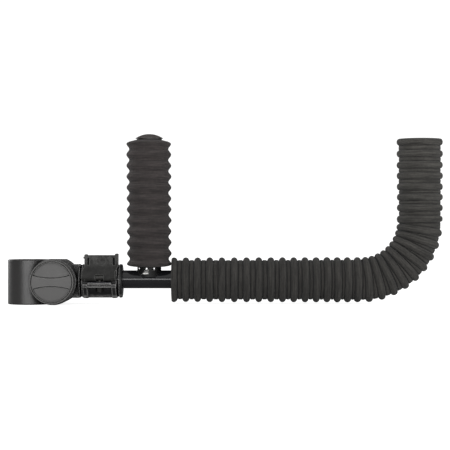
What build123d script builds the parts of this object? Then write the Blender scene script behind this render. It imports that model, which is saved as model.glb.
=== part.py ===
"""Clamp-on rest arm for the leg of a seat box: a screw-tightened leg ring, a tilting socket with a
cam lever, and a J-shaped tube in ribbed foam with a padded upright post.

Frame: origin at the centre of the leg bore, X along the arm, Z up the leg, -Y towards the knob."""

import os
from math import sqrt

from build123d import *

# --- Leg ring ---------------------------------------------------------------------------------
leg_bore_radius = 18.0
ring_wall = 4.5
ring_height = 46.6
ring_edge_round = 1.0
boss_radius = 24.2            # round pads under the knob and the nut
boss_proud = 1.9              # how far the pads stand outside the band
boss_edge_round = 0.8

# --- Clamp screw and knob ------------------------------------------------------------------------
stud_radius = 4.0             # M8
stud_hole_clearance = 0.25
stud_tip_below_nut = 0.5
stud_tip_chamfer = 0.8
stud_head_flats = 13.0
stud_head_length = 5.0
nut_across_flats = 13.0
nut_thickness = 6.5
nut_recess = 1.0
washer_radius = 12.0
washer_thickness = 1.6
knob_radius = 22.7
knob_face_radius = 20.8
knob_thickness = 13.0
knob_groove = 0.8             # between the face and the rim round it
knob_groove_depth = 2.6
knob_rim_drop = 0.8           # the rim stands this far behind the face
knob_edge_round = 0.5
knob_face_round = 0.7
knob_rim_land = 0.6           # plain face left around the finger scoops
grip_bar_half_width = 3.8     # at its waist
grip_bar_waist_radius = 66.8
scoop_depth = 1.5             # beside the grip bar
scoop_edge_depth = 1.9
bar_outline = 1.1             # a deeper line along each side of the bar
bar_outline_depth = 4.0

# --- Socket: tongue, barrel and clamp lugs --------------------------------------------------------
clamp_rise = 0.8              # screw and barrel centre above the middle of the ring
tongue_eye_radius = 9.0
tongue_thickness = 14.0
tongue_side_clearance = 0.2
tongue_flare_length = 17.0
friction_ring_thickness = 1.2
friction_ring_proud = 0.1
friction_ring_wall = 3.2
friction_ring_land = 0.8      # tongue left round each friction ring
barrel_radius = 17.6
barrel_length = 46.0
barrel_boss_gap = 0.4
barrel_edge_round = 1.2
end_wall = 1.9
flange_length = 3.2
relief_groove = 2.3
relief_back = 5.0             # the grooves stop this far behind the arm's axis
bore_rise = 1.6               # arm axis above the barrel centre
bush_wall = 2.0
bush_end_gap = 0.3
bush_split = 2.0
running_clearance = 0.05
slip_clearance = 0.3
lug_thickness = 1.9
lug_reach = 9.0               # lugs in front of the barrel
lug_root = 12.0               # lugs start this far in front of the arm's axis
lug_width = 23.9
lug_shift = 1.2               # lugs stand towards the arm from the collar's middle
clamp_slit = 0.9
clamp_slit_drop = 3.55        # slit centre below the barrel centre
rib_width = 4.4
rib_inset = 2.2               # left rib in from the collar's end
rib_cap = 0.8
rib_cap_back = 1.0            # the cap ends this far in front of the barrel
rib_toe = 13.0                # where the rib's sloping edge meets the underside

# --- Cam lever ------------------------------------------------------------------------------------
cam_radius = 4.8              # pin centre to the wear plate, lever closed
cam_eccentric = 0.6
cam_pin_radius = 2.0
cam_pin_edge = 0.4
cam_gap = 1.4                 # room between the eye bolt's nut and the barrel
wear_plate_thickness = 1.0
wear_plate_inset = 0.3
lever_face = 4.2              # pin centre to the lever's front face
lever_height = 23.0           # pin centre to the top edge of the web
lever_left_inset = 1.0        # hinge part in from the collar's ends
lever_right_inset = 0.5
lever_step_start = 0.25       # where the sideways step starts and ends, as shares of the height
lever_step_stop = 0.5
lever_left_step = 3.0         # the paddle stands towards the arm above the hinge
lever_right_step = 3.0
lever_left_cheek = 3.1
lever_right_cheek = 3.3
lever_left_horn = 0.8         # the cheeks stand above the web
lever_right_horn = 1.5
lever_horn_round = 1.1
lever_web = 3.0
lever_back_gap = 0.8          # cheeks clear of the barrel
lever_left_groove = 2.0
lever_right_groove = 2.5
lever_groove_depth = 5.6
lever_groove_wall = 1.0       # wall and floor of the side grooves
lever_groove_rise = 0.2       # their walls start this far above the step
lever_groove_land = 0.6       # web left above the grooves
lever_top_round = 1.8
lever_dimple_radius = 4.6
lever_dimple_depth = 0.4
lever_dimple_drop = 5.8       # its centre below the web's top edge
lever_pip_radius = 1.1
lever_pip_length = 1.1
lever_pip_back = 2.2
lever_pip_drop = 2.6
lever_window_top = 2.5        # window for the eye bolt, from the pin centre
lever_window_low = 1.0
eye_radius = 3.7
eye_width = 7.6
eye_side_gap = 0.3
tension_nut_flats = 7.0
tension_nut_thickness = 3.2
tension_washer_radius = 4.2
tension_washer_thickness = 1.0
tension_tip = 0.8

# --- Arm ------------------------------------------------------------------------------------------
tube_radius = 9.5
tube_wall = 1.5
tube_engagement = 31.0        # tube inside the socket
arm_reach = 409.6             # leg axis to the axis of the turned-up end
bend_radius = 61.0
end_height = 147.3            # turned-up end of the foam above the arm axis
tube_end_setback = 4.5
plug_head = 1.5
plug_stem = 12.0
plug_edge_round = 0.6
plug_head_inset = 0.2         # head of the inner plug inside the tube's outline
foam_gap = 0.1
arm_foam_radius = 23.7
arm_foam_start = 149.2
foam_edge_round = 2.5

# --- Upright --------------------------------------------------------------------------------------
upright_x = 125.7
saddle_radius = 12.6
saddle_skirt = 2.8            # skirt's lower edge above the arm axis
saddle_deck_gap = 2.9         # deck's underside above the tube
saddle_deck = 1.6
saddle_window_left = 6.9      # the two windows' outer edges, from the upright's axis
saddle_window_right = 6.2
saddle_mullion = 2.1          # half of the bar between the windows
saddle_window_slant = 3.4
saddle_mullion_shift = 1.8    # the bar stands towards the foam
saddle_sill = 0.45            # height of the left window's sill, as a share of the skirt
saddle_sight_hole = 0.9
saddle_sight_inset = 2.2
spreader_length = 16.4
spreader_width = 16.6
spreader_thickness = 1.0
upright_foam_radius = 23.2
upright_foam_length = 133.4
foam_over_deck = 1.2          # foam skirt hanging round the deck
post_radius = 7.5
post_wall = 1.5
post_setback = 2.7
foot_length = 16.0
stud_end_gap = 2.0
upright_stud_radius = 2.0     # M4
rivet_nut_radius = 3.0
rivet_nut_flange = 4.0
rivet_nut_length = 9.0
rivet_nut_rim = 0.8
cap_radius = 14.6
cap_dome = 4.6
cap_base = 1.4
cap_base_inset = 1.4
cap_stem = 14.0
overshoot = 1.0               # cutting shapes stand proud by this much

# --- Places worked out from the sizes above -------------------------------------------------------
ring_outer = leg_bore_radius + ring_wall
boss_face = ring_outer + boss_proud
bolt_x = leg_bore_radius + tongue_eye_radius + slip_clearance
ear_gap = tongue_thickness / 2 + tongue_side_clearance
nut_floor = boss_face - nut_recess - nut_thickness
knob_back = -boss_face - washer_thickness
knob_front = knob_back - knob_thickness

barrel_start = bolt_x + boss_radius + barrel_boss_gap
barrel_end = barrel_start + barrel_length
arm_z = clamp_rise + bore_rise
bush_radius = tube_radius + running_clearance + bush_wall
bore_start = barrel_start + end_wall
flange_start = barrel_end - flange_length
collar_start = bore_start + relief_groove
collar_end = flange_start - relief_groove
slit_z = clamp_rise - clamp_slit_drop
upper_lug_top = slit_z + clamp_slit / 2 + lug_thickness
lower_lug_bottom = slit_z - clamp_slit / 2 - lug_thickness
lug_front = -barrel_radius - lug_reach
rib_left = collar_start + rib_inset
rib_right = collar_end - rib_width
cam_x = (collar_start + collar_end) / 2 + lug_shift
cam_y = -barrel_radius - cam_gap - tension_nut_flats / 2
cam_z = upper_lug_top + wear_plate_thickness + cam_radius
lever_left = collar_start + lever_left_inset
lever_right = collar_end - lever_right_inset
lever_front = cam_y - lever_face
lever_top = cam_z + lever_height
lever_step_low = cam_z + lever_step_start * lever_height
lever_step_high = cam_z + lever_step_stop * lever_height
lever_web_left = lever_left + lever_left_step + lever_left_cheek
lever_web_right = lever_right + lever_right_step - lever_right_cheek
eye_half = eye_width / 2 + eye_side_gap

tube_start = barrel_end - tube_engagement
bend_x = arm_reach - bend_radius
bend_z = arm_z + bend_radius
foam_end = arm_z + end_height
tube_end = foam_end - tube_end_setback

tube_top = arm_z + tube_radius
deck_low = tube_top + saddle_deck_gap
deck_top = deck_low + saddle_deck
upright_foam_low = deck_top - foam_over_deck
upright_foam_top = upright_foam_low + upright_foam_length
post_top = upright_foam_top - post_setback
cap_low = upright_foam_top + slip_clearance


def bar_x(radius, start, end, y, z):
    """Round bar along X."""
    return Pos((start + end) / 2, y, z) * Rot(0, 90, 0) * Cylinder(radius, end - start)


def bar_y(radius, start, end, x, z):
    """Round bar along Y."""
    return Pos(x, (start + end) / 2, z) * Rot(90, 0, 0) * Cylinder(radius, end - start)


def bar_z(radius, start, end, x, y):
    """Round bar along Z."""
    return Pos(x, y, (start + end) / 2) * Cylinder(radius, end - start)


def block(x_span, y_span, z_span):
    """Box between two corners, given as (low, high) pairs."""
    spans = (x_span, y_span, z_span)
    middle = [(low + high) / 2 for low, high in spans]
    return Pos(*middle) * Box(*[high - low for low, high in spans])


def hexagon_y(across_flats, start, end, x, z):
    """Hexagonal prism along Y with corners up and down."""
    face = Plane((x, start, z), x_dir=(0, 0, 1), z_dir=(0, 1, 0))
    return extrude(face * RegularPolygon(across_flats / sqrt(3), 6), amount=end - start)


def hexagon_z(across_flats, start, end, x, y):
    """Hexagonal prism along Z."""
    outline = Pos(x, y, start) * RegularPolygon(across_flats / sqrt(3), 6)
    return extrude(outline, amount=end - start)


def plate_x(points, start, end):
    """Flat plate with a (y, z) outline, between two X values."""
    face = Plane((start, 0, 0), x_dir=(0, 1, 0), z_dir=(1, 0, 0))
    return extrude(face * make_face(Polyline(*points, close=True)), amount=end - start)


def plate_y(points, start, end):
    """Flat plate with an (x, z) outline, between two Y values."""
    face = Plane((0, end, 0), x_dir=(1, 0, 0), z_dir=(0, -1, 0))
    return extrude(face * make_face(Polyline(*points, close=True)), amount=end - start)


def bent_bar(radius, start, end):
    """Round bar on the arm's line: a level run, a quarter bend and the turned-up end."""
    level = bar_x(radius, start, bend_x, 0, arm_z)
    section = Plane((bend_x, 0, arm_z), x_dir=(0, 1, 0), z_dir=(1, 0, 0)) * Circle(radius)
    bend = revolve(section, Axis((bend_x, 0, bend_z), (0, -1, 0)), revolution_arc=90)
    riser = bar_z(radius, bend_z, end, arm_reach, 0)
    return level + bend + riser


def edges_at(shape, axis, value):
    """Round edges whose centre lies at one value of an axis."""
    rounds = shape.edges().filter_by(GeomType.CIRCLE)
    return [edge for edge in rounds if abs(tuple(edge.center())[axis] - value) < 0.01]


# --- Leg ring and its screw -------------------------------------------------------------------------
def leg_ring():
    """Open ring for the leg, with a thick ear and round pad on each side of the tongue."""
    half = ring_height / 2
    all_height = (-ring_height, ring_height)
    band = bar_z(ring_outer, -half, half, 0, 0)
    band = fillet(band.edges().filter_by(GeomType.CIRCLE), ring_edge_round)
    pads = bar_y(boss_radius, -boss_face, boss_face, bolt_x, clamp_rise)
    pads = fillet(pads.edges().filter_by(GeomType.CIRCLE), boss_edge_round)
    pads = pads & block((0, bolt_x + 2 * boss_radius), (-2 * boss_face, 2 * boss_face), (-half, half))
    bore = bar_z(leg_bore_radius, *all_height, 0, 0)
    gap = block((0, bolt_x + 2 * boss_radius), (-ear_gap, ear_gap), all_height)
    hole_radius = stud_radius + stud_hole_clearance
    screw_hole = bar_y(hole_radius, -2 * boss_face, 2 * boss_face, bolt_x, clamp_rise)
    pocket_flats = nut_across_flats + running_clearance
    nut_pocket = hexagon_y(pocket_flats, nut_floor, 2 * boss_face, bolt_x, clamp_rise)
    return band + pads - bore - gap - screw_hole - nut_pocket


def captive_nut():
    """Hexagon nut held in the rear ear."""
    nut = hexagon_y(nut_across_flats, nut_floor, nut_floor + nut_thickness, bolt_x, clamp_rise)
    bore = bar_y(stud_radius + running_clearance, 0, 2 * boss_face, bolt_x, clamp_rise)
    return nut - bore


def thrust_washer():
    """Plain washer between the knob and the front ear."""
    disc = bar_y(washer_radius, knob_back, -boss_face, bolt_x, clamp_rise)
    return disc - bar_y(stud_radius + running_clearance, 2 * knob_back, 0, bolt_x, clamp_rise)


def knob_stud():
    """Threaded stud with a hexagon head moulded into the knob."""
    tip = nut_floor + nut_thickness - stud_tip_below_nut
    head = hexagon_y(stud_head_flats, knob_back - stud_head_length, knob_back, bolt_x, clamp_rise)
    shank = bar_y(stud_radius, knob_back, tip, bolt_x, clamp_rise)
    shank = chamfer(edges_at(shank, 1, tip), stud_tip_chamfer)
    return head + shank


def finger_scoop(side):
    """Hollow beside the grip bar with a deeper line along the bar; side is 1 above it, -1 below."""
    rim = bar_y(knob_face_radius - knob_rim_land, 2 * knob_front, knob_back, bolt_x, clamp_rise)
    waist_z = clamp_rise + side * (grip_bar_half_width + grip_bar_waist_radius)
    waist = bar_y(grip_bar_waist_radius, 2 * knob_front, knob_back, bolt_x, waist_z)
    beside = bar_y(grip_bar_waist_radius - bar_outline, 2 * knob_front, knob_back, bolt_x, waist_z)
    run = knob_face_radius - knob_rim_land - grip_bar_half_width
    near = clamp_rise + side * grip_bar_half_width
    slope = (scoop_depth - scoop_edge_depth) / run
    front = 2 * knob_front
    floor = [
        (front, near - side * run),
        (front, near + side * 2 * run),
        (knob_front + scoop_edge_depth - slope * run, near + side * 2 * run),
        (knob_front + scoop_depth + slope * run, near - side * run),
    ]
    across = (bolt_x - knob_radius, bolt_x + knob_radius)
    hollow = waist & plate_x(floor, *across)
    deep = block(across, (front, knob_front + bar_outline_depth), (-2 * knob_radius, 2 * knob_radius))
    outline = (waist - beside) & deep
    return rim & (hollow + outline)


def clamp_knob():
    """Round knob: a face with a waisted bar between finger scoops, and a rim round a groove."""
    rim_front = knob_front + knob_rim_drop
    groove_floor = knob_front + knob_groove_depth
    rim = bar_y(knob_radius, rim_front, knob_back, bolt_x, clamp_rise)
    rim = fillet(edges_at(rim, 1, rim_front), knob_edge_round)
    groove_radius = knob_face_radius + knob_groove
    rim = rim - bar_y(groove_radius, 2 * knob_front, groove_floor, bolt_x, clamp_rise)
    face = bar_y(knob_face_radius, knob_front, knob_back, bolt_x, clamp_rise)
    face = fillet(edges_at(face, 1, knob_front), knob_face_round)
    knob = rim + face
    for side in (1, -1):
        knob = knob - finger_scoop(side)
    pocket = hexagon_y(stud_head_flats, knob_back - stud_head_length, 0, bolt_x, clamp_rise)
    return knob - pocket


# --- Socket ----------------------------------------------------------------------------------------
def tongue():
    """Flat tongue that the two ears squeeze, with a seat for a friction ring in each face."""
    half = tongue_thickness / 2
    eye = bar_y(tongue_eye_radius, -half, half, bolt_x, clamp_rise)
    shoulder = bolt_x + tongue_flare_length
    root = barrel_start + end_wall / 2
    outline = [
        (bolt_x, clamp_rise + tongue_eye_radius),
        (shoulder, clamp_rise + barrel_radius),
        (root, clamp_rise + barrel_radius),
        (root, clamp_rise - barrel_radius),
        (shoulder, clamp_rise - barrel_radius),
        (bolt_x, clamp_rise - tongue_eye_radius),
    ]
    shape = eye + plate_y(outline, -half, half)
    seat_radius = tongue_eye_radius - friction_ring_land
    floor = half + friction_ring_proud - friction_ring_thickness
    for side in (-1, 1):
        span = sorted((side * floor, side * 2 * half))
        shape = shape - bar_y(seat_radius, *span, bolt_x, clamp_rise)
    return shape


def friction_rings():
    """Two flat rings let into the tongue's faces, which grip the ears."""
    outer = tongue_eye_radius - friction_ring_land - running_clearance
    high = tongue_thickness / 2 + friction_ring_proud
    rings = []
    for side in (-1, 1):
        span = sorted((side * high, side * (high - friction_ring_thickness)))
        ring = bar_y(outer, *span, bolt_x, clamp_rise)
        rings.append(ring - bar_y(outer - friction_ring_wall, *span, bolt_x, clamp_rise))
    return Compound(children=rings)


def socket_ribs():
    """Two gussets that carry the lower lug, each with a raised cap beside the upper lug."""
    low = clamp_rise - barrel_radius
    cap_back = -barrel_radius - rib_cap_back
    outline = [
        (lug_front, slit_z + rib_cap),
        (lug_front, lower_lug_bottom),
        (-rib_toe, low),
        (0, low),
        (0, slit_z),
        (cap_back, slit_z),
        (cap_back, slit_z + rib_cap),
    ]
    return plate_x(outline, rib_left, rib_left + rib_width) + plate_x(outline, rib_right, collar_end)


def socket_solid():
    """The socket's outside: barrel with its end flange, tongue, lugs and ribs."""
    barrel = bar_x(barrel_radius, barrel_start, barrel_end, 0, clamp_rise)
    barrel = fillet(barrel.edges().filter_by(GeomType.CIRCLE), barrel_edge_round)
    reach = (lug_front, -lug_root)
    half = clamp_slit / 2
    upper = block((cam_x - lug_width / 2, cam_x + lug_width / 2), reach, (slit_z + half, upper_lug_top))
    lower = block((rib_left, collar_end), reach, (lower_lug_bottom, slit_z - half))
    return barrel + tongue() + lower + socket_ribs() + upper


def socket_slits():
    """Cuts that let the collar close: one along its front, and one round it at each end."""
    height = (slit_z - clamp_slit / 2, slit_z + clamp_slit / 2)
    along = block((bore_start, collar_end), (-barrel_radius - rib_cap_back / 2, 0), height)
    lugs = block((rib_left + rib_width, rib_right), (2 * lug_front, 0), height)
    cuts = along + lugs
    all_height = (clamp_rise - 2 * barrel_radius, clamp_rise + 2 * barrel_radius)
    for start in (bore_start, collar_end):
        cuts = cuts + block((start, start + relief_groove), (2 * lug_front, relief_back), all_height)
    return cuts


def socket_body():
    """Moulded socket: tongue, split barrel, end flange, clamp lugs and ribs."""
    bore = bar_x(bush_radius + running_clearance, bore_start, flange_start, 0, arm_z)
    mouth = bar_x(tube_radius + slip_clearance, bore_start, 2 * barrel_end, 0, arm_z)
    screw_radius = stud_radius + stud_hole_clearance
    screw_hole = bar_y(screw_radius, -barrel_radius, barrel_radius, bolt_x, clamp_rise)
    tension_radius = cam_pin_radius + stud_hole_clearance
    tension_hole = bar_z(tension_radius, 2 * lower_lug_bottom, cam_z, cam_x, cam_y)
    return socket_solid() - socket_slits() - bore - mouth - screw_hole - tension_hole


def split_bush():
    """Split liner that turns in the barrel and grips the tube."""
    start = bore_start + bush_end_gap
    end = flange_start - bush_end_gap
    past = (start - overshoot, end + overshoot)
    sleeve = bar_x(bush_radius, start, end, 0, arm_z)
    sleeve = sleeve - bar_x(tube_radius + running_clearance, *past, 0, arm_z)
    half = bush_split / 2
    return sleeve - block(past, (-2 * bush_radius, 0), (arm_z - half, arm_z + half))


# --- Cam lever -------------------------------------------------------------------------------------
def cam_pin():
    """Pin that the lever turns on."""
    pin = bar_x(cam_pin_radius, lever_left, lever_right, cam_y, cam_z)
    return chamfer(pin.edges().filter_by(GeomType.CIRCLE), cam_pin_edge)


def wear_plate():
    """Steel plate on the upper lug, under the cams."""
    sides = (cam_x - lug_width / 2, cam_x + lug_width / 2)
    reach = (lug_front + wear_plate_inset, -barrel_radius - wear_plate_inset)
    plate = block(sides, reach, (upper_lug_top, upper_lug_top + wear_plate_thickness))
    return plate - bar_z(cam_pin_radius + stud_hole_clearance, -cam_z, cam_z, cam_x, cam_y)


def tension_bolt():
    """Eye bolt that hangs on the cam pin and passes down through both lugs."""
    tip = lower_lug_bottom - tension_washer_thickness - tension_nut_thickness - tension_tip
    eye = bar_x(eye_radius, cam_x - eye_width / 2, cam_x + eye_width / 2, cam_y, cam_z)
    shank = bar_z(cam_pin_radius, tip, cam_z, cam_x, cam_y)
    pin_hole = bar_x(cam_pin_radius + running_clearance, lever_left, lever_right, cam_y, cam_z)
    return eye + shank - pin_hole


def tension_washer():
    """Washer under the lower lug."""
    span = (lower_lug_bottom - tension_washer_thickness, lower_lug_bottom)
    disc = bar_z(tension_washer_radius, *span, cam_x, cam_y)
    return disc - bar_z(cam_pin_radius + running_clearance, *span, cam_x, cam_y)


def tension_nut():
    """Lock nut that sets the grip of the cam."""
    high = lower_lug_bottom - tension_washer_thickness
    span = (high - tension_nut_thickness, high)
    nut = hexagon_z(tension_nut_flats, *span, cam_x, cam_y)
    return nut - bar_z(cam_pin_radius + running_clearance, *span, cam_x, cam_y)


def stepped_strip(left, right, left_step, right_step, top):
    """Outline of an upright strip whose sides step towards the arm above the hinge."""
    return [
        (left, cam_z),
        (left, lever_step_low),
        (left + left_step, lever_step_high),
        (left + left_step, top),
        (right + right_step, top),
        (right + right_step, lever_step_high),
        (right, lever_step_low),
        (right, cam_z),
    ]


def lever_cheeks():
    """The lever's two side walls, each with a rounded horn above the web."""
    back = -barrel_radius - lever_back_gap
    left_inner = lever_left + lever_left_cheek
    right_inner = lever_right - lever_right_cheek
    cheeks = []
    for left, right, step, horn in (
        (lever_left, left_inner, lever_left_step, lever_left_horn),
        (right_inner, lever_right, lever_right_step, lever_right_horn),
    ):
        cheek = plate_y(stepped_strip(left, right, step, step, lever_top + horn), lever_front, back)
        top_corners = cheek.edges().filter_by(Axis.Y).sort_by(Axis.Z)[-2:]
        cheeks.append(fillet(top_corners, lever_horn_round))
    return cheeks[0] + cheeks[1]


def lever_hubs():
    """Round hinge hubs in the cheeks, and the cams between them and the eye bolt."""
    hub_radius = cam_radius - cam_eccentric
    inner_left = lever_left + lever_left_cheek
    inner_right = lever_right - lever_right_cheek
    hubs = bar_x(hub_radius, lever_left, inner_left, cam_y, cam_z)
    hubs = hubs + bar_x(hub_radius, inner_right, lever_right, cam_y, cam_z)
    for span in ((inner_left, cam_x - eye_half), (cam_x + eye_half, inner_right)):
        hubs = hubs + bar_x(hub_radius, *span, cam_y, cam_z - cam_eccentric)
        hubs = hubs + block(span, (lever_front, cam_y), (cam_z, cam_z + hub_radius / 2))
    return hubs


def lever_grooves():
    """(left, right) sides of the two upright grooves between the cheeks and the web."""
    return (
        (lever_web_left, lever_web_left + lever_left_groove),
        (lever_web_right - lever_right_groove, lever_web_right),
    )


def lever_web_plate():
    """The web with its rounded top edge, and the walls behind the two grooves."""
    outline = stepped_strip(lever_left, lever_right, lever_left_step, lever_right_step, lever_top)
    web = plate_y(outline, lever_front, lever_front + lever_web)
    top_edges = web.edges().filter_by(Axis.X).sort_by(Axis.Z)[-2:]
    web = fillet(top_edges.sort_by(Axis.Y)[0], lever_top_round)
    back = (lever_front + lever_web / 2, lever_front + lever_groove_depth + lever_groove_wall)
    height = (lever_step_high + lever_groove_rise, lever_top - lever_top_round)
    left_groove, right_groove = lever_grooves()
    left_wall = block((left_groove[0], left_groove[1] + lever_groove_wall), back, height)
    right_wall = block((right_groove[0] - lever_groove_wall, right_groove[1]), back, height)
    return web + left_wall + right_wall


def lever_hollows():
    """Everything cut from the lever: side grooves, dimple, pin hole and the eye bolt's room."""
    front = 2 * lever_front
    groove_depth = (front, lever_front + lever_groove_depth)
    groove_low = lever_step_high + lever_groove_rise + lever_groove_wall
    groove_height = (groove_low, lever_top - lever_top_round - lever_groove_land)
    left_groove, right_groove = [block(sides, groove_depth, groove_height) for sides in lever_grooves()]
    dimple_x = (lever_web_left + lever_web_right) / 2
    dimple_floor = lever_front + lever_dimple_depth
    dimple = bar_y(lever_dimple_radius, front, dimple_floor, dimple_x, lever_top - lever_dimple_drop)
    pin_hole = bar_x(cam_pin_radius + running_clearance, 0, 2 * lever_right, cam_y, cam_z)

    eye_sides = (cam_x - eye_half, cam_x + eye_half)
    eye_room = bar_x(eye_radius + eye_side_gap, *eye_sides, cam_y, cam_z)
    window = block(eye_sides, (front, cam_y), (cam_z - lever_window_low, cam_z + lever_window_top))
    shank_half = cam_pin_radius + eye_side_gap
    shank_sides = (cam_x - shank_half, cam_x + shank_half)
    shank_room = block(shank_sides, (front, cam_y + shank_half), (cam_z - 2 * cam_radius, cam_z))
    return left_groove + right_groove + dimple + pin_hole + eye_room + window + shank_room


def cam_lever():
    """Channel-shaped lever: two cheeks, a grooved web, and a cam on each side of the eye bolt."""
    pip_end = lever_left + lever_left_step
    pip_span = (pip_end - lever_pip_length, pip_end + overshoot)
    pip = bar_x(lever_pip_radius, *pip_span, lever_front + lever_pip_back, lever_top - lever_pip_drop)
    return lever_web_plate() + lever_cheeks() + lever_hubs() + pip - lever_hollows()


# --- Arm -------------------------------------------------------------------------------------------
def arm_tube():
    """Bent tube with a hole for the upright's rivet nut."""
    bore = bent_bar(tube_radius - tube_wall, tube_start - overshoot, tube_end + overshoot)
    hole = bar_z(rivet_nut_radius + running_clearance, arm_z, 2 * tube_top, upright_x, 0)
    return bent_bar(tube_radius, tube_start, tube_end) - bore - hole


def plug(head_radius):
    """Push-in plug with its head at Z 0 and up, and its stem below."""
    stem_radius = tube_radius - tube_wall - running_clearance
    head = bar_z(head_radius, 0, plug_head, 0, 0)
    head = fillet(edges_at(head, 2, plug_head), plug_edge_round)
    return head + bar_z(stem_radius, -plug_stem, 0, 0, 0)


def inner_plug():
    """Plug in the tube's end inside the socket."""
    return Pos(tube_start, 0, arm_z) * Rot(0, -90, 0) * plug(tube_radius - plug_head_inset)


def end_plug():
    """Plug in the turned-up end of the tube."""
    return Pos(arm_reach, 0, tube_end) * plug(tube_radius)


def arm_foam():
    """Foam sleeve over the level run, the bend and the turned-up end."""
    sleeve = bent_bar(arm_foam_radius, arm_foam_start, foam_end)
    ends = edges_at(sleeve, 0, arm_foam_start) + edges_at(sleeve, 2, foam_end)
    sleeve = fillet(ends, foam_edge_round)
    return sleeve - bent_bar(tube_radius + foam_gap, arm_foam_start - overshoot, foam_end + overshoot)


# --- Upright ----------------------------------------------------------------------------------------
def saddle_windows():
    """The two windows cut through the saddle, one with a slanted side."""
    reach = 2 * saddle_radius
    sill = arm_z + saddle_skirt + saddle_sill * (tube_radius - saddle_skirt)
    left_edge = upright_x - saddle_window_left
    bar_left = upright_x - saddle_mullion + saddle_mullion_shift
    left_window = [
        (left_edge, sill),
        (bar_left, sill),
        (bar_left, deck_low),
        (left_edge + saddle_window_slant, deck_low),
    ]
    right_edge = upright_x + saddle_window_right
    bar_right = upright_x + saddle_mullion + saddle_mullion_shift
    right_sill = tube_top - slip_clearance
    right_window = block((bar_right, right_edge), (-reach, reach), (right_sill, deck_low))
    sight_x = upright_x - saddle_radius + saddle_sight_inset
    sight = bar_y(saddle_sight_hole, -reach, reach, sight_x, deck_low - saddle_sight_hole)
    return plate_y(left_window, -reach, reach) + right_window + sight


def upright_saddle():
    """Windowed seat between the tube and the upright, with a skirt that follows the tube."""
    low = arm_z + saddle_skirt
    drum = bar_z(saddle_radius, low, deck_top, upright_x, 0)
    tube_room = bar_x(tube_radius + running_clearance, 0, arm_reach, 0, arm_z)
    stud_hole = bar_z(upright_stud_radius + running_clearance, low, 2 * deck_top, upright_x, 0)
    nut_room_top = tube_top + rivet_nut_rim + slip_clearance
    nut_room = bar_z(rivet_nut_flange + slip_clearance, low, nut_room_top, upright_x, 0)
    spreader_room = bar_x(tube_radius + spreader_thickness + slip_clearance, 0, arm_reach, 0, arm_z)
    half = spreader_length / 2 + slip_clearance
    sides = (upright_x - half, upright_x + half)
    reach = 2 * saddle_radius
    spreader_room = spreader_room & block(sides, (-reach, reach), (arm_z, 2 * tube_top))
    return drum - tube_room - saddle_windows() - stud_hole - nut_room - spreader_room


def saddle_spreader():
    """Curved bright plate on the tube that spreads the load of the rivet nut's rim."""
    half_length = spreader_length / 2
    half_width = spreader_width / 2
    shell = bar_x(tube_radius + spreader_thickness, 0, arm_reach, 0, arm_z)
    shell = shell - bar_x(tube_radius + running_clearance, 0, arm_reach, 0, arm_z)
    sides = (upright_x - half_length, upright_x + half_length)
    shell = shell & block(sides, (-half_width, half_width), (arm_z, 2 * tube_top))
    return shell - bar_z(rivet_nut_flange + slip_clearance, arm_z, 2 * tube_top, upright_x, 0)


def rivet_nut():
    """Blind rivet nut set in the top wall of the tube."""
    top = tube_top + rivet_nut_rim
    body = bar_z(rivet_nut_radius, tube_top - rivet_nut_length, top, upright_x, 0)
    rim = bar_z(rivet_nut_flange, tube_top, top, upright_x, 0)
    bore = bar_z(upright_stud_radius + running_clearance, 0, 2 * top, upright_x, 0)
    return body + rim - bore


def upright_stud():
    """Threaded rod from the rivet nut up into the post's foot."""
    low = tube_top - rivet_nut_length + stud_end_gap
    high = deck_top + foot_length - stud_end_gap
    return bar_z(upright_stud_radius, low, high, upright_x, 0)


def post_foot():
    """Threaded plug in the lower end of the post."""
    radius = post_radius - post_wall - running_clearance
    body = bar_z(radius, deck_top, deck_top + foot_length, upright_x, 0)
    hole_end = deck_top + foot_length - stud_end_gap / 2
    return body - bar_z(upright_stud_radius + running_clearance, 0, hole_end, upright_x, 0)


def upright_post():
    """Straight tube inside the upright's foam."""
    outer = bar_z(post_radius, deck_top, post_top, upright_x, 0)
    return outer - bar_z(post_radius - post_wall, 0, 2 * post_top, upright_x, 0)


def upright_foam():
    """Foam sleeve of the upright, hollowed underneath for the deck."""
    sleeve = bar_z(upright_foam_radius, upright_foam_low, upright_foam_top, upright_x, 0)
    sleeve = fillet(sleeve.edges().filter_by(GeomType.CIRCLE), foam_edge_round)
    sleeve = sleeve - bar_z(post_radius + foam_gap, 0, 2 * upright_foam_top, upright_x, 0)
    return sleeve - bar_z(saddle_radius + slip_clearance, 0, deck_top + slip_clearance, upright_x, 0)


def upright_cap():
    """Domed cap on a stem that plugs the post."""
    base = bar_z(cap_radius - cap_base_inset, cap_low, cap_low + cap_base, upright_x, 0)
    rim_low = cap_low + cap_base
    ball = (cap_radius**2 + cap_dome**2) / (2 * cap_dome)
    dome = Pos(upright_x, 0, rim_low + cap_dome - ball) * Sphere(ball)
    dome = dome & bar_z(cap_radius, rim_low, rim_low + cap_dome, upright_x, 0)
    stem_radius = post_radius - post_wall - running_clearance
    stem = bar_z(stem_radius, post_top - cap_stem, cap_low, upright_x, 0)
    return base + dome + stem


makers = [
    leg_ring, captive_nut, thrust_washer, knob_stud, clamp_knob,
    socket_body, friction_rings, split_bush, cam_pin, wear_plate,
    tension_bolt, tension_washer, tension_nut, cam_lever,
    arm_tube, inner_plug, end_plug, arm_foam,
    upright_saddle, saddle_spreader, rivet_nut, upright_stud, post_foot, upright_post, upright_foam,
    upright_cap,
]

os.makedirs("parts", exist_ok=True)
for maker in makers:
    export_step(maker(), f"parts/{maker.__name__}.step")
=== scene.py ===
import math

import bpy
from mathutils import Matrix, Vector, noise


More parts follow.
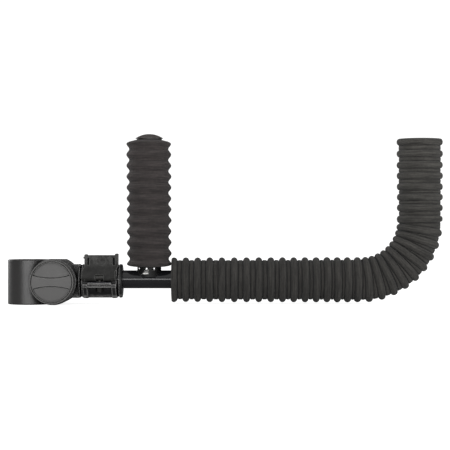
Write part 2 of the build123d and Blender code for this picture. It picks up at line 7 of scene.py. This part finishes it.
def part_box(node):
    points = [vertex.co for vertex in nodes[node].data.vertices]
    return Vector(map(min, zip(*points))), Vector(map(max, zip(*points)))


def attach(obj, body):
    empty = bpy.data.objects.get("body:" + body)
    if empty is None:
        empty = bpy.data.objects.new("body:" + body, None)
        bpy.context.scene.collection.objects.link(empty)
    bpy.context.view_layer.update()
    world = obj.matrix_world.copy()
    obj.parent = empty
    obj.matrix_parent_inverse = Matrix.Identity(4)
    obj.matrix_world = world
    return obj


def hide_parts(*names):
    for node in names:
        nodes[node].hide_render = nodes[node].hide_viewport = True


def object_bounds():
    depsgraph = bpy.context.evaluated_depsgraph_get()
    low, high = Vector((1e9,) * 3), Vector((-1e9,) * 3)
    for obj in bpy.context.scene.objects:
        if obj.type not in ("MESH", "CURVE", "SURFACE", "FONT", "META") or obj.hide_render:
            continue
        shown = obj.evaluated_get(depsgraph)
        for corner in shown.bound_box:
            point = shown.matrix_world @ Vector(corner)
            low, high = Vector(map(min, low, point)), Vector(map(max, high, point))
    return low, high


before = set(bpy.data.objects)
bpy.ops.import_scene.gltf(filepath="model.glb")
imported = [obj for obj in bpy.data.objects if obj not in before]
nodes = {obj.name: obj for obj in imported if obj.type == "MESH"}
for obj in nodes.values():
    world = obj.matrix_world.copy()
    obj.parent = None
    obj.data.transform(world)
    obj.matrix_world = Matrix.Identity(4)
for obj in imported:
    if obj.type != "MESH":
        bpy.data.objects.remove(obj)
cad_low, cad_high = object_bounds()
scene = bpy.context.scene

# === Studio =======================================================================================
# A wide pale table in a white surround, both brighter to look at than the light they throw, and
# large soft lamps, as in a light tent. The camera looks level along +Y through a long lens.
middle = (cad_low + cad_high) / 2
table_size = 40.0
table_tone = 0.72
white = (1, 1, 1, 1)


def shader_tree(name):
    """A new material, with its node tree and its Principled shader."""
    made = bpy.data.materials.new(name)
    made.use_nodes = True
    tree = made.node_tree
    return made, tree, tree.nodes["Principled BSDF"]


def node(tree, kind, **inputs):
    """A new node with the sockets named here set; an underscore stands for a space."""
    made = tree.nodes.new(kind)
    for socket, value in inputs.items():
        made.inputs[socket.replace("_", " ")].default_value = value
    return made


def seen_and_felt(tree, seen, felt, surface):
    """Shows one shader to the camera, and lets the other one light the piece."""
    path_kind = tree.nodes.new("ShaderNodeLightPath")
    chosen = tree.nodes.new("ShaderNodeMixShader")
    tree.links.new(path_kind.outputs["Is Camera Ray"], chosen.inputs["Fac"])
    tree.links.new(felt, chosen.inputs[1])
    tree.links.new(seen, chosen.inputs[2])
    tree.links.new(chosen.outputs["Shader"], surface)


half_table = table_size / 2
table_mesh = bpy.data.meshes.new("table")
table_mesh.from_pydata(
    [(x, y, cad_low.z) for x, y in ((-half_table, -half_table), (half_table, -half_table),
                                    (half_table, half_table), (-half_table, half_table))],
    [],
    [(0, 1, 2, 3)],
)
table = bpy.data.objects.new("table", table_mesh)
scene.collection.objects.link(table)
pale, tree, shader = shader_tree("pale_table")
shader.inputs["Base Color"].default_value = (table_tone, table_tone, table_tone, 1)
shader.inputs["Roughness"].default_value = 0.9
glow = node(tree, "ShaderNodeEmission", Color=white, Strength=0.86)
lit = tree.nodes.new("ShaderNodeAddShader")
tree.links.new(shader.outputs["BSDF"], lit.inputs[0])
tree.links.new(glow.outputs["Emission"], lit.inputs[1])
seen_and_felt(tree, lit.outputs["Shader"], shader.outputs["BSDF"],
              tree.nodes["Material Output"].inputs["Surface"])
table_mesh.materials.append(pale)

surround = bpy.data.worlds.new("surround")
surround.use_nodes = True
scene.world = surround
tree = surround.node_tree
bright = tree.nodes["Background"]
bright.inputs["Color"].default_value = white
bright.inputs["Strength"].default_value = 1.1
fill = node(tree, "ShaderNodeBackground", Color=white, Strength=0.16)
seen_and_felt(tree, bright.outputs["Background"], fill.outputs["Background"],
              tree.nodes["World Output"].inputs["Surface"])


def lamp(name, kind, place, power):
    """A lamp at a place, turned towards the middle of the arm."""
    data = bpy.data.lights.new(name, kind)
    data.energy = power
    made = bpy.data.objects.new(name, data)
    made.location = place
    made.rotation_mode = "QUATERNION"
    made.rotation_quaternion = (middle - Vector(place)).to_track_quat("-Z", "Y")
    made.visible_camera = False
    scene.collection.objects.link(made)
    return data


def panel(name, place, width, height, power):
    """A softbox."""
    data = lamp(name, "AREA", place, power)
    data.shape = "RECTANGLE"
    data.size = width
    data.size_y = height


roof = lamp("roof_cloth", "SUN", place=(-0.3, -1.4, 2.4), power=1.25)
roof.angle = 1.3
panel("front_strip", place=(0.12, -2.1, 0.16), width=2.4, height=0.36, power=28)
panel("right_strip", place=(2.0, -0.7, 0.2), width=1.6, height=0.6, power=12)
panel("back_edge", place=(-1.3, 1.2, 0.5), width=1.0, height=1.0, power=7)

camera_distance = 1.5
camera_aside = 0.00023         # the camera stands this far to the left of the middle
camera_drop = 0.00635          # and this far below it
view_width = 0.4725
camera_data = bpy.data.cameras.new("camera")
camera_data.sensor_width = 36
camera_data.lens = camera_data.sensor_width * camera_distance / view_width
camera = bpy.data.objects.new("camera", camera_data)
camera.location = (middle.x - camera_aside, -camera_distance, middle.z - camera_drop)
camera.rotation_euler = (math.radians(90), 0, 0)
scene.collection.objects.link(camera)
scene.camera = camera
scene.view_settings.view_transform = "Standard"

# === Leg ring and clamp nut =========================================================================
# The ring that grips the seat box's leg, moulded in black glass-filled nylon with a spark-eroded skin.
# It is an open band with a thick ear and round pad each side, and a zinc nut held in the rear ear.
ring_black = (0.019, 0.0182, 0.018)
# Its paler edge tone is partly edge wear and partly painted highlight on the pads and ears.
ring_wear_and_highlight = (0.16, 0.155, 0.15)
grain_size = 0.00045
edge_round = 0.0005


def shade(colour, strength=1.0):
    """A colour made darker or paler, ready for a socket."""
    return (*[c * strength for c in colour], 1)


def mottling(tree, place, **inputs):
    """Noise over a surface, 0 to 1."""
    made = node(tree, "ShaderNodeTexNoise", **inputs)
    tree.links.new(place, made.inputs["Vector"])
    return made.outputs["Fac"]


def ranged(tree, value, low=0.0, high=1.0, start=0.0, end=1.0):
    """Carries a value that goes from low to high over to one that goes from start to end."""
    made = node(tree, "ShaderNodeMapRange", From_Min=low, From_Max=high, To_Min=start, To_Max=end)
    tree.links.new(value, made.inputs["Value"])
    return made.outputs["Result"]


def combined(tree, way, first, second):
    """One number made from two."""
    made = tree.nodes.new("ShaderNodeMath")
    made.operation = way
    tree.links.new(first, made.inputs[0])
    tree.links.new(second, made.inputs[1])
    return made.outputs["Value"]


def mixed(tree, factor, first, second, way="MIX"):
    """A mix of two colours. Each of the three is a plain value or another node's output."""
    made = tree.nodes.new("ShaderNodeMix")
    made.data_type = "RGBA"
    made.blend_type = way
    for socket, value in (("Factor", factor), ("A", first), ("B", second)):
        if isinstance(value, bpy.types.NodeSocket):
            tree.links.new(value, made.inputs[socket])
        else:
            made.inputs[socket].default_value = value
    return made.outputs["Result"]


def scaled(tree, colour, by):
    """A colour multiplied by a number, which darkens it below 1 and pales it above."""
    return mixed(tree, 1.0, colour, by, "MULTIPLY")


def softened(tree, radius, samples):
    """The way the surface faces, with every edge rounded over by the radius."""
    made = node(tree, "ShaderNodeBevel", Radius=radius)
    made.samples = samples
    return made.outputs["Normal"]


def raised(tree, height, facing, **inputs):
    """The way the surface faces once a height is pressed into it."""
    made = node(tree, "ShaderNodeBump", **inputs)
    tree.links.new(height, made.inputs["Height"])
    if facing is not None:
        tree.links.new(facing, made.inputs["Normal"])
    return made.outputs["Normal"]


def crevices(tree, distance, closed, clear, darkest):
    """Painted shade: 1 where the surface is open, down to the darkest value deep in a groove or corner."""
    made = node(tree, "ShaderNodeAmbientOcclusion", Distance=distance)
    made.samples = 8
    return ranged(tree, made.outputs["AO"], closed, clear, start=darkest)


def moulded(name, colour, wear_and_light_colour, rough, grain, round_over, clouds=0.25, reach=0.0012, wear=0.8, shine=0.5,
            patches=55.0, darkest_crevice_shade=0.06, lit_heights=None):
    """Moulded plastic: a fine eroded grain, flow clouds, softened edges and painted shade in the crevices.

    Corners are made paler within their reach: partly edge wear, partly painted highlight. A piece may
    have painted light over a band of heights: the heights between which it comes in, and how much of it
    there is."""
    made, tree, shader = shader_tree(name)
    link = tree.links.new
    place = tree.nodes.new("ShaderNodeTexCoord").outputs["Object"]
    fine = mottling(tree, place, Scale=1 / grain, Detail=3.0, Roughness=0.6)
    flow = mottling(tree, place, Scale=patches, Detail=4.0, Roughness=0.6, Distortion=0.6)
    scratch = mottling(tree, place, Scale=240.0, Detail=5.0, Roughness=0.75)

    # An edge is where the softened surface and the true one face different ways.
    bent = tree.nodes.new("ShaderNodeVectorMath")
    bent.operation = "DOT_PRODUCT"
    link(softened(tree, radius=reach, samples=8), bent.inputs[0])
    link(tree.nodes.new("ShaderNodeNewGeometry").outputs["Normal"], bent.inputs[1])
    edges = ranged(tree, bent.outputs["Value"], low=0.99, high=0.78, end=wear)
    patchy = ranged(tree, scratch, low=0.3, high=0.6, start=0.45)
    wear_and_light_mask = combined(tree, "MULTIPLY", edges, patchy)
    # Painted light: the colour is paled over a band of heights.
    if lit_heights:
        begins, full, most = lit_heights
        height = tree.nodes.new("ShaderNodeSeparateXYZ")
        link(place, height.inputs["Vector"])
        pale_mask = ranged(tree, height.outputs["Z"], low=begins, high=full, end=most)
        blotchy = ranged(tree, scratch, low=0.38, high=0.62)
        wear_and_light_mask = combined(tree, "MAXIMUM", wear_and_light_mask, combined(tree, "MULTIPLY", pale_mask, blotchy))

    # The paled edges are partly edge wear and partly painted highlight.
    clean = mixed(tree, flow, shade(colour, 1 - clouds), shade(colour, 1 + clouds))
    with_wear_and_light = mixed(tree, wear_and_light_mask, clean, shade(wear_and_light_colour))
    # Painted shade: the colour is darkened in grooves and corners.
    painted_crevice_shade = crevices(tree, distance=0.0028, closed=0.40, clear=0.90, darkest=darkest_crevice_shade)
    link(scaled(tree, with_wear_and_light, painted_crevice_shade), shader.inputs["Base Color"])
    link(ranged(tree, flow, start=rough - 0.07, end=rough + 0.09), shader.inputs["Roughness"])
    shader.inputs["Specular IOR Level"].default_value = shine
    smooth = softened(tree, radius=round_over, samples=4)
    link(raised(tree, fine, smooth, Strength=0.3, Distance=0.00008), shader.inputs["Normal"])
    return made


def finish_nodes(material, *names):
    """Gives CAD nodes their finish."""
    for name in names:
        nodes[name].data.materials.clear()
        nodes[name].data.materials.append(material)


ring_nylon = moulded("ring_nylon", ring_black, ring_wear_and_highlight, rough=0.36, grain=grain_size,
                     round_over=edge_round, shine=0.56)
finish_nodes(ring_nylon, "leg_ring")


def metal(name, colour, tint, rough, bare=1.0):
    """Plated or blackened steel: clouded plating, fine turning marks and softened edges."""
    made, tree, shader = shader_tree(name)
    link = tree.links.new
    place = tree.nodes.new("ShaderNodeTexCoord").outputs["Object"]
    cloud = mottling(tree, place, Scale=420.0, Detail=4.0, Roughness=0.6)
    marks = mottling(tree, place, Scale=2600.0, Detail=2.0)
    link(mixed(tree, cloud, shade(colour), shade(tint)), shader.inputs["Base Color"])
    link(ranged(tree, cloud, start=rough - 0.08, end=rough + 0.12), shader.inputs["Roughness"])
    smooth = softened(tree, radius=0.0003, samples=6)
    link(raised(tree, marks, smooth, Strength=0.25, Distance=0.00003), shader.inputs["Normal"])
    shader.inputs["Metallic"].default_value = bare
    return made


zinc_grey = (0.62, 0.62, 0.60)
zinc_yellow = (0.78, 0.77, 0.72)
zinc = metal("zinc_plate", zinc_grey, zinc_yellow, rough=0.32)
finish_nodes(zinc, "captive_nut")

# === Clamp screw, washer and knob ====================================================================
# A round moulded knob turned by its waisted grip bar, on a zinc-plated M8 stud, over a plain washer.
# It pulls the two ears together on the tongue, so one screw sets both the grip and the tilt.
knob_grey = (0.055, 0.0535, 0.052)
knob_scuff = (0.22, 0.215, 0.21)
knob_nylon = moulded("knob_nylon", knob_grey, knob_scuff, rough=0.46, grain=grain_size,
                     round_over=edge_round, clouds=0.12)
finish_nodes(knob_nylon, "clamp_knob")
finish_nodes(zinc, "thrust_washer", "knob_stud")

# === Socket =========================================================================================
# The tilting socket: tongue, split barrel, end flange and clamp lugs in one black nylon moulding.
# Rubber friction rings sit in the tongue's faces, and a nylon bush lines the barrel.
socket_black = (0.009, 0.009, 0.0095)
# Its pale tone is partly edge wear and partly painted highlight on the edges and ribs.
socket_wear_and_light = (0.36, 0.356, 0.350)
socket_lit_underside = (-0.0125, -0.0160, 0.95)      # painted light from below: paler underneath
socket_nylon = moulded("socket_nylon", socket_black, socket_wear_and_light, rough=0.46, grain=grain_size,
                       round_over=edge_round, reach=0.0018, wear=1.0, shine=0.28, lit_heights=socket_lit_underside)
finish_nodes(socket_nylon, "socket_body")

rubber_black = (0.02, 0.02, 0.02)
rubber_scuff = (0.05, 0.05, 0.05)
friction_rubber = moulded("friction_rubber", rubber_black, rubber_scuff, rough=0.8, grain=0.0003,
                          round_over=0.0002)
finish_nodes(friction_rubber, "friction_rings")

bush_black = (0.012, 0.012, 0.012)
bush_scuff = (0.03, 0.03, 0.03)
bush_nylon = moulded("bush_nylon", bush_black, bush_scuff, rough=0.6, grain=0.0006, round_over=0.0003,
                     clouds=0.06)
finish_nodes(bush_nylon, "split_bush")

# === Cam lever ======================================================================================
# A channel-shaped lever of black nylon whose cams squeeze the lugs, on a blackened steel pin.
# An eye bolt, washer and lock nut hang on the pin; a spring-steel plate takes the cams' wear.
lever_black = (0.0225, 0.0222, 0.0214)
# Its pale tone is partly edge wear and partly painted highlight on the edges and top.
lever_wear_and_light = (0.20, 0.20, 0.194)
lever_lit_top = (0.015, 0.024, 0.24)           # painted highlight: greyer towards its top
lever_nylon = moulded("lever_nylon", lever_black, lever_wear_and_light, rough=0.48, grain=0.0006,
                      round_over=0.0005, clouds=0.95, reach=0.0013, shine=0.07, patches=190.0,
                      darkest_crevice_shade=0.20, lit_heights=lever_lit_top)
finish_nodes(lever_nylon, "cam_lever")

oxide_black = (0.018, 0.018, 0.018)
oxide_brown = (0.028, 0.027, 0.026)
blackened = metal("black_oxide", oxide_black, oxide_brown, rough=0.62)
finish_nodes(blackened, "cam_pin", "tension_washer", "tension_nut")

phosphate_dark = (0.035, 0.035, 0.034)
phosphate_pale = (0.055, 0.054, 0.052)
finish_nodes(metal("grey_phosphate", phosphate_dark, phosphate_pale, rough=0.55), "tension_bolt")

blued_dark = (0.01, 0.01, 0.012)
blued_pale = (0.02, 0.02, 0.024)
finish_nodes(metal("blued_steel", blued_dark, blued_pale, rough=0.5), "wear_plate")

# === Arm tube =======================================================================================
# Bent aluminium tube, painted gloss black, with a moulded plug pushed into each end.
# It slides and turns in the socket, and its turned-up end stops the rod rolling off.
paint_black = (0.006, 0.006, 0.007)
plug_black = (0.022, 0.022, 0.022)
plug_scuff = (0.09, 0.09, 0.09)


def gloss_paint(name, colour):
    """Gloss paint over metal, with a slight orange peel and fine handling marks."""
    made, tree, shader = shader_tree(name)
    link = tree.links.new
    place = tree.nodes.new("ShaderNodeTexCoord").outputs["Object"]
    peel = mottling(tree, place, Scale=420.0, Detail=2.0, Roughness=0.45)
    pale_mask = mottling(tree, place, Scale=70.0, Detail=6.0, Roughness=0.7)
    link(mixed(tree, pale_mask, shade(colour), shade(colour, 1.8)), shader.inputs["Base Color"])
    link(ranged(tree, pale_mask, start=0.10, end=0.22), shader.inputs["Roughness"])
    link(raised(tree, peel, None, Strength=0.12, Distance=0.00012), shader.inputs["Normal"])
    shader.inputs["Specular IOR Level"].default_value = 0.3
    return made


finish_nodes(gloss_paint("tube_paint", paint_black), "arm_tube")
plug_plastic = moulded("plug_plastic", plug_black, plug_scuff, rough=0.42, grain=0.0004, round_over=0.0004)
finish_nodes(plug_plastic, "inner_plug", "end_plug")

# === Arm foam =======================================================================================
# One sleeve of closed-cell foam, turned to raised beads and pushed over the level run, the bend and
# the turned-up end. The beads crowd together inside the bend, where the foam is squeezed.
arm_low, arm_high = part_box("arm_foam")
tube_low, tube_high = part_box("arm_tube")
tube_radius = (tube_high.y - tube_low.y) / 2
arm_radius = (arm_high.y - arm_low.y) / 2
arm_axis = arm_low.z + arm_radius
arm_reach = arm_high.x - arm_radius
bend_radius = 0.061
level_run = arm_reach - bend_radius - arm_low.x
bend_run = bend_radius * math.pi / 2
end_run = arm_high.z - arm_axis - bend_radius
sleeve_run = level_run + bend_run + end_run

# Each pair is a run along the sleeve and a measure there: the pitch of the beads, how far their tops
# and the lands between them stand from the middle of the tube, and how deep their foot is creased.
bead_pitches = ((0.0, 0.0121), (0.05, 0.01295), (0.09, 0.0128), (0.125, 0.01175), (0.15, 0.0117),
                (0.165, 0.0109), (0.2, 0.0103), (0.285, 0.0099), (0.2905, 0.0116), (0.3025, 0.0118),
                (0.3143, 0.0112), (0.3255, 0.0109), (0.3364, 0.0115), (0.348, 0.0112),
                (0.3592, 0.0118), (0.371, 0.0124))
bead_tops = ((0.0, 0.0234), (0.165, 0.0237), (0.375, 0.0241))
land_radii = ((0.0, 0.0206), (0.15, 0.0209), (0.30, 0.0218), (0.375, 0.0219))
crease_depths = ((0.0, 0.0009), (0.26, 0.0009), (0.31, 0.0004))

first_bead = 0.0026
last_bead_inset = 0.0035
pitch_taken_at = 0.005         # the pitch is the one this far past a bead
bead_half_width = 0.0035
bead_shoulder = 2.2            # higher gives a bead flatter on top
bead_fullness = 0.72           # lower gives a bead steeper at its foot
bead_keeps_width = 0.7         # how much of its width a bead keeps where the bend crowds the foam
crease_middle = 1.13           # the crease at a bead's foot, in bead half widths from its middle
crease_half_width = 0.17
foam_sag = 0.0004              # the foam hangs this much lower than the tube
foam_facets = 96
foam_lumps = 110               # about this many lumps to the metre
arm_swell = 0.00025            # how high the lumps are
lay_radius = 0.0016            # small, so that the turning marks run nearly unbroken round the sleeve
lay_step = 0.5                 # how much of a step out or in counts as length for the marks
bore_steps = 24
bore_gap = 0.0002              # between the foam's bore and the tube or post in it
bead_steps = (-1.5, -1.34, -1.26, -1.16, -1.08, -1.0, -0.93, -0.8, -0.6, -0.3, 0,
              0.3, 0.6, 0.8, 0.93, 1.0, 1.08, 1.16, 1.26, 1.34, 1.5)


def between(points, place):
    """The value at a place on a line through (place, value) points."""
    for (a, low), (b, high) in zip(points, points[1:]):
        if place <= b:
            return low + (high - low) * max(0.0, place - a) / (b - a)
    return points[-1][1]


def arm_line(run):
    """Centre and inward direction (towards the inside of the bend) at a run along the arm."""
    if run <= level_run:
        return Vector((arm_low.x + run, 0, arm_axis)), Vector((0, 0, 1))
    if run >= level_run + bend_run:
        rise = run - level_run - bend_run
        return Vector((arm_reach, 0, arm_axis + bend_radius + rise)), Vector((-1, 0, 0))
    turn = (run - level_run) / bend_radius
    inward = Vector((-math.sin(turn), 0, math.cos(turn)))
    return Vector((arm_reach - bend_radius, 0, arm_axis + bend_radius)) - inward * bend_radius, inward


def bead_places():
    """Runs of the beads along the sleeve, from the pitch at each place."""
    places = [first_bead]
    while True:
        step = between(bead_pitches, places[-1] + pitch_taken_at)
        if places[-1] + step > sleeve_run - last_bead_inset / 2:
            return places
        places.append(places[-1] + step)


def bead(across):
    """Height of a bead, 0 to 1, at a distance across it from 0 at the middle to 1 at its foot."""
    return max(0.0, 1 - abs(across) ** bead_shoulder) ** bead_fullness


def crease(across):
    """Depth of the crease at a bead's foot, 0 to 1."""
    return max(0.0, 1 - abs(abs(across) - crease_middle) / crease_half_width)


def arm_radius_at(run, places):
    """How far the arm's foam stands out at a run, as a function of how far inside the bend a side is."""
    near = min(places, key=lambda place: abs(place - run))
    land = between(land_radii, run)
    height = between(bead_tops, run) - land
    depth = between(crease_depths, run)
    bent = 1.0 if level_run <= run <= level_run + bend_run else 0.0
    sag = foam_sag * min(1.0, max(0.0, (level_run + bend_run - run) / bend_run))

    def radius(inside):
        stretch = 1 - bent * inside * arm_radius / bend_radius
        across = (run - near) / (bead_half_width / stretch**bead_keeps_width)
        return land + height * bead(across) - depth * crease(across) - sag * inside
    return radius


def arm_stops(places):
    """Runs, to the micrometre, at which the arm's foam has a ring of points: close over each bead."""
    stops = {0.0, sleeve_run}
    for place in places:
        for step in bead_steps:
            stops.add(round(place + step * bead_half_width, ndigits=6))
    return sorted(stop for stop in stops if 0 <= stop <= sleeve_run)


def ring_points(centre, inward, sideways, radius, swell):
    """A ring of points round a centre, uneven by up to the swell."""
    points = []
    for facet in range(foam_facets):
        angle = 2 * math.pi * facet / foam_facets
        outward = inward * math.cos(angle) + sideways * math.sin(angle)
        out = radius(math.cos(angle))
        uneven = swell * noise.noise((centre + outward * out) * foam_lumps)
        points.append(centre + outward * (out + uneven))
    return points


def sleeve_rings(outside, line, sideways, swell, bore):
    """Rings up the outside of a sleeve from one end to the other, and back down its bore."""
    rings = [ring_points(*line(run), sideways, radius, swell) for run, radius in outside]
    first, last = outside[0][0], outside[-1][0]
    for step in range(bore_steps, -1, -1):
        run = first + (last - first) * step / bore_steps
        rings.append(ring_points(*line(run), sideways, lambda inside: bore, 0))
    return rings


def closed_sleeve(name, rings):
    """A closed skin through a loop of rings, with a "lay" that follows the foam for its turning marks."""
    points = [point for ring in rings for point in ring]
    faces = []
    for row in range(len(rings)):
        this, after = row * foam_facets, (row + 1) % len(rings) * foam_facets
        for facet in range(foam_facets):
            beside = (facet + 1) % foam_facets
            faces.append((this + facet, this + beside, after + beside, after + facet))
    mesh = bpy.data.meshes.new(name)
    mesh.from_pydata(points, [], faces)
    mesh.update()
    for face in mesh.polygons:
        face.use_smooth = True
    along = 0.0
    lay = []
    for row, ring in enumerate(rings):
        centre = sum(ring, Vector()) / foam_facets
        width = (ring[0] - centre).length
        if row:
            along += (centre - last_centre).length
            along += abs(width - last_width) * lay_step
        last_centre, last_width = centre, width
        for facet in range(foam_facets):
            angle = 2 * math.pi * facet / foam_facets
            lay.extend((along, lay_radius * math.cos(angle), lay_radius * math.sin(angle)))
    mesh.attributes.new("lay", "FLOAT_VECTOR", "POINT").data.foreach_set("vector", lay)
    made = bpy.data.objects.new(name, mesh)
    scene.collection.objects.link(made)
    return made


def foam_skin(name, colour, paling):
    """Closed-cell foam: a dull skin with fine pores, streaks left by turning, and painted shade in its
    creases.

    It is paler further along its lay: the runs between which the paling comes in, and how much paler it
    gets."""
    made, tree, shader = shader_tree(name)
    link = tree.links.new
    place = tree.nodes.new("ShaderNodeTexCoord").outputs["Object"]
    pores = node(tree, "ShaderNodeTexVoronoi", Scale=1500.0)
    link(place, pores.inputs["Vector"])
    fine = mottling(tree, place, Scale=1300.0, Detail=4.0, Roughness=0.7)
    mottle = mottling(tree, place, Scale=480.0, Detail=5.0, Roughness=0.75)
    lay = tree.nodes.new("ShaderNodeAttribute")
    lay.attribute_name = "lay"
    turned = mottling(tree, lay.outputs["Vector"], Scale=620.0, Detail=4.0, Roughness=0.6)
    along = tree.nodes.new("ShaderNodeSeparateXYZ")
    link(lay.outputs["Vector"], along.inputs["Vector"])

    shades = mixed(tree, mottle, shade(colour, 0.35), shade(colour, 1.75))
    streaked = scaled(tree, shades, ranged(tree, turned, low=0.35, high=0.65, start=0.35))
    shadow = crevices(tree, distance=0.0022, closed=0.50, clear=1.0, darkest=0.10)
    begins, full, palest = paling
    # Paler further along the lay: towards the arm's turned-up end, and up the upright.
    paler_along = ranged(tree, along.outputs["X"], low=begins, high=full, start=1.0, end=palest)
    tone_with_painted_shade = scaled(tree, scaled(tree, streaked, shadow), paler_along)
    link(tone_with_painted_shade, shader.inputs["Base Color"])

    skin = raised(tree, fine, None, Strength=0.7, Distance=0.0005)
    streaks = raised(tree, turned, skin, Strength=0.6, Distance=0.0006)
    pits = raised(tree, pores.outputs["Distance"], streaks, Strength=0.3, Distance=0.0003)
    link(pits, shader.inputs["Normal"])
    shader.inputs["Roughness"].default_value = 0.86
    shader.inputs["Specular IOR Level"].default_value = 0.35
    shader.inputs["Sheen Weight"].default_value = 0.06
    shader.inputs["Sheen Roughness"].default_value = 0.6
    return made


foam_black = (0.0325, 0.0308, 0.0278)
arm_paling = (0.20, 0.50, 2.0)
arm_beads = bead_places()
arm_outside = [(run, arm_radius_at(run, arm_beads)) for run in arm_stops(arm_beads)]
arm_rings = sleeve_rings(arm_outside, arm_line, Vector((0, -1, 0)), arm_swell, tube_radius + bore_gap)
arm_sleeve = closed_sleeve("arm_foam_sleeve", arm_rings)
arm_sleeve.data.materials.append(foam_skin("ribbed_foam_skin", foam_black, arm_paling))
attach(arm_sleeve, "arm")
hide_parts("arm_foam")

# === Saddle and post ================================================================================
# A short tube stands as a post on a windowed saddle, which straddles the arm tube over a curved bright
# plate. A stud screws the post down into a rivet nut in the tube, and a domed cap plugs its top.
saddle_black = (0.006, 0.006, 0.006)
saddle_scuff = (0.05, 0.05, 0.05)
saddle_plastic = moulded("saddle_plastic", saddle_black, saddle_scuff, rough=0.5, grain=0.0004,
                         round_over=0.0004, shine=0.2)
finish_nodes(saddle_plastic, "upright_saddle")

cap_brown = (0.060, 0.051, 0.048)
cap_scuff = (0.12, 0.11, 0.105)
cap_plastic = moulded("cap_plastic", cap_brown, cap_scuff, rough=0.5, grain=0.0004, round_over=0.0005)
finish_nodes(cap_plastic, "upright_cap")

foot_black = (0.03, 0.03, 0.03)
foot_scuff = (0.1, 0.1, 0.1)
foot_nylon = moulded("foot_nylon", foot_black, foot_scuff, rough=0.5, grain=0.0005, round_over=0.0003)
finish_nodes(foot_nylon, "post_foot")

dull_grey = (0.80, 0.80, 0.78)
dull_yellow = (0.90, 0.89, 0.86)
finish_nodes(metal("dull_zinc", dull_grey, dull_yellow, rough=0.45, bare=0.35), "saddle_spreader")
finish_nodes(zinc, "rivet_nut")
finish_nodes(blackened, "upright_stud")

post_grey = (0.5, 0.5, 0.5)
post_pale = (0.6, 0.6, 0.6)
finish_nodes(metal("post_metal", post_grey, post_pale, rough=0.4), "upright_post")

# === Upright foam ===================================================================================
# The post has a foam sleeve of its own, turned to twelve close rounded ribs and pushed down over it.
# It leans a little towards the leg, and its ends are rounded in.
up_low, up_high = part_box("upright_foam")
post_low, post_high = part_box("upright_post")
up_centre = (up_low + up_high) / 2
up_swelled = 0.0003            # the foam stands this much outside the radius of its CAD piece
up_radius = (up_high.x - up_low.x) / 2 + up_swelled
post_radius = (post_high.x - post_low.x) / 2
rib_count = 12
low_inset = 0.0030             # from the foam's lower end to the middle of its lowest rib
high_inset = 0.0038            # and from its upper end to the middle of its highest
lowest_rib = up_low.z + low_inset
highest_rib = up_high.z - high_inset
rib_depth = 0.0030
rib_fullness = 1.05            # above 1, the ribs are wider than the grooves
rib_steps = 14
low_corner = ((0.0004, 0.0075), (0.0010, 0.0035), (0.0019, 0.0010))      # in from the end, in from the side
high_corner = ((0.0026, 0.0010), (0.0017, 0.0030), (0.0009, 0.0060), (0.0, 0.0095))
upright_lean = 0.0006
upright_swell = 0.0002
upright_black = (0.038, 0.0315, 0.0305)
upright_paling = (0.0, 0.20, 1.35)


def upright_line(run):
    """Centre and direction of the upright's rings at a height."""
    return Vector((up_centre.x, 0, run)), Vector((1, 0, 0))


def upright_profile():
    """(height, radius) points of the upright's outside, with its ribs."""
    pitch = (highest_rib - lowest_rib) / (rib_count - 1)
    profile = []
    for step in range((rib_count - 1) * rib_steps + 1):
        phase = step / rib_steps % 1
        hang = ((1 - math.cos(2 * math.pi * phase)) / 2) ** rib_fullness
        profile.append((lowest_rib + step / rib_steps * pitch, up_radius - rib_depth * hang))
    return profile


def leaning(height, radius):
    """The same radius all round, with the middle leaning towards the leg higher up."""
    shift = upright_lean * (height - up_low.z) / (up_high.z - up_low.z)
    return lambda inside: radius - shift * inside


low_end = [(up_low.z + inset, up_radius - cut) for inset, cut in low_corner]
high_end = [(up_high.z - inset, up_radius - cut) for inset, cut in high_corner]
upright_side = low_end + upright_profile() + high_end
upright_outside = [(height, leaning(height, radius)) for height, radius in upright_side]
upright_rings = sleeve_rings(upright_outside, upright_line, Vector((0, 1, 0)), upright_swell,
                             post_radius + bore_gap)
upright_sleeve = closed_sleeve("upright_foam_sleeve", upright_rings)
upright_sleeve.data.materials.append(foam_skin("upright_foam_skin", upright_black, upright_paling))
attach(upright_sleeve, "arm")
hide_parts("upright_foam")
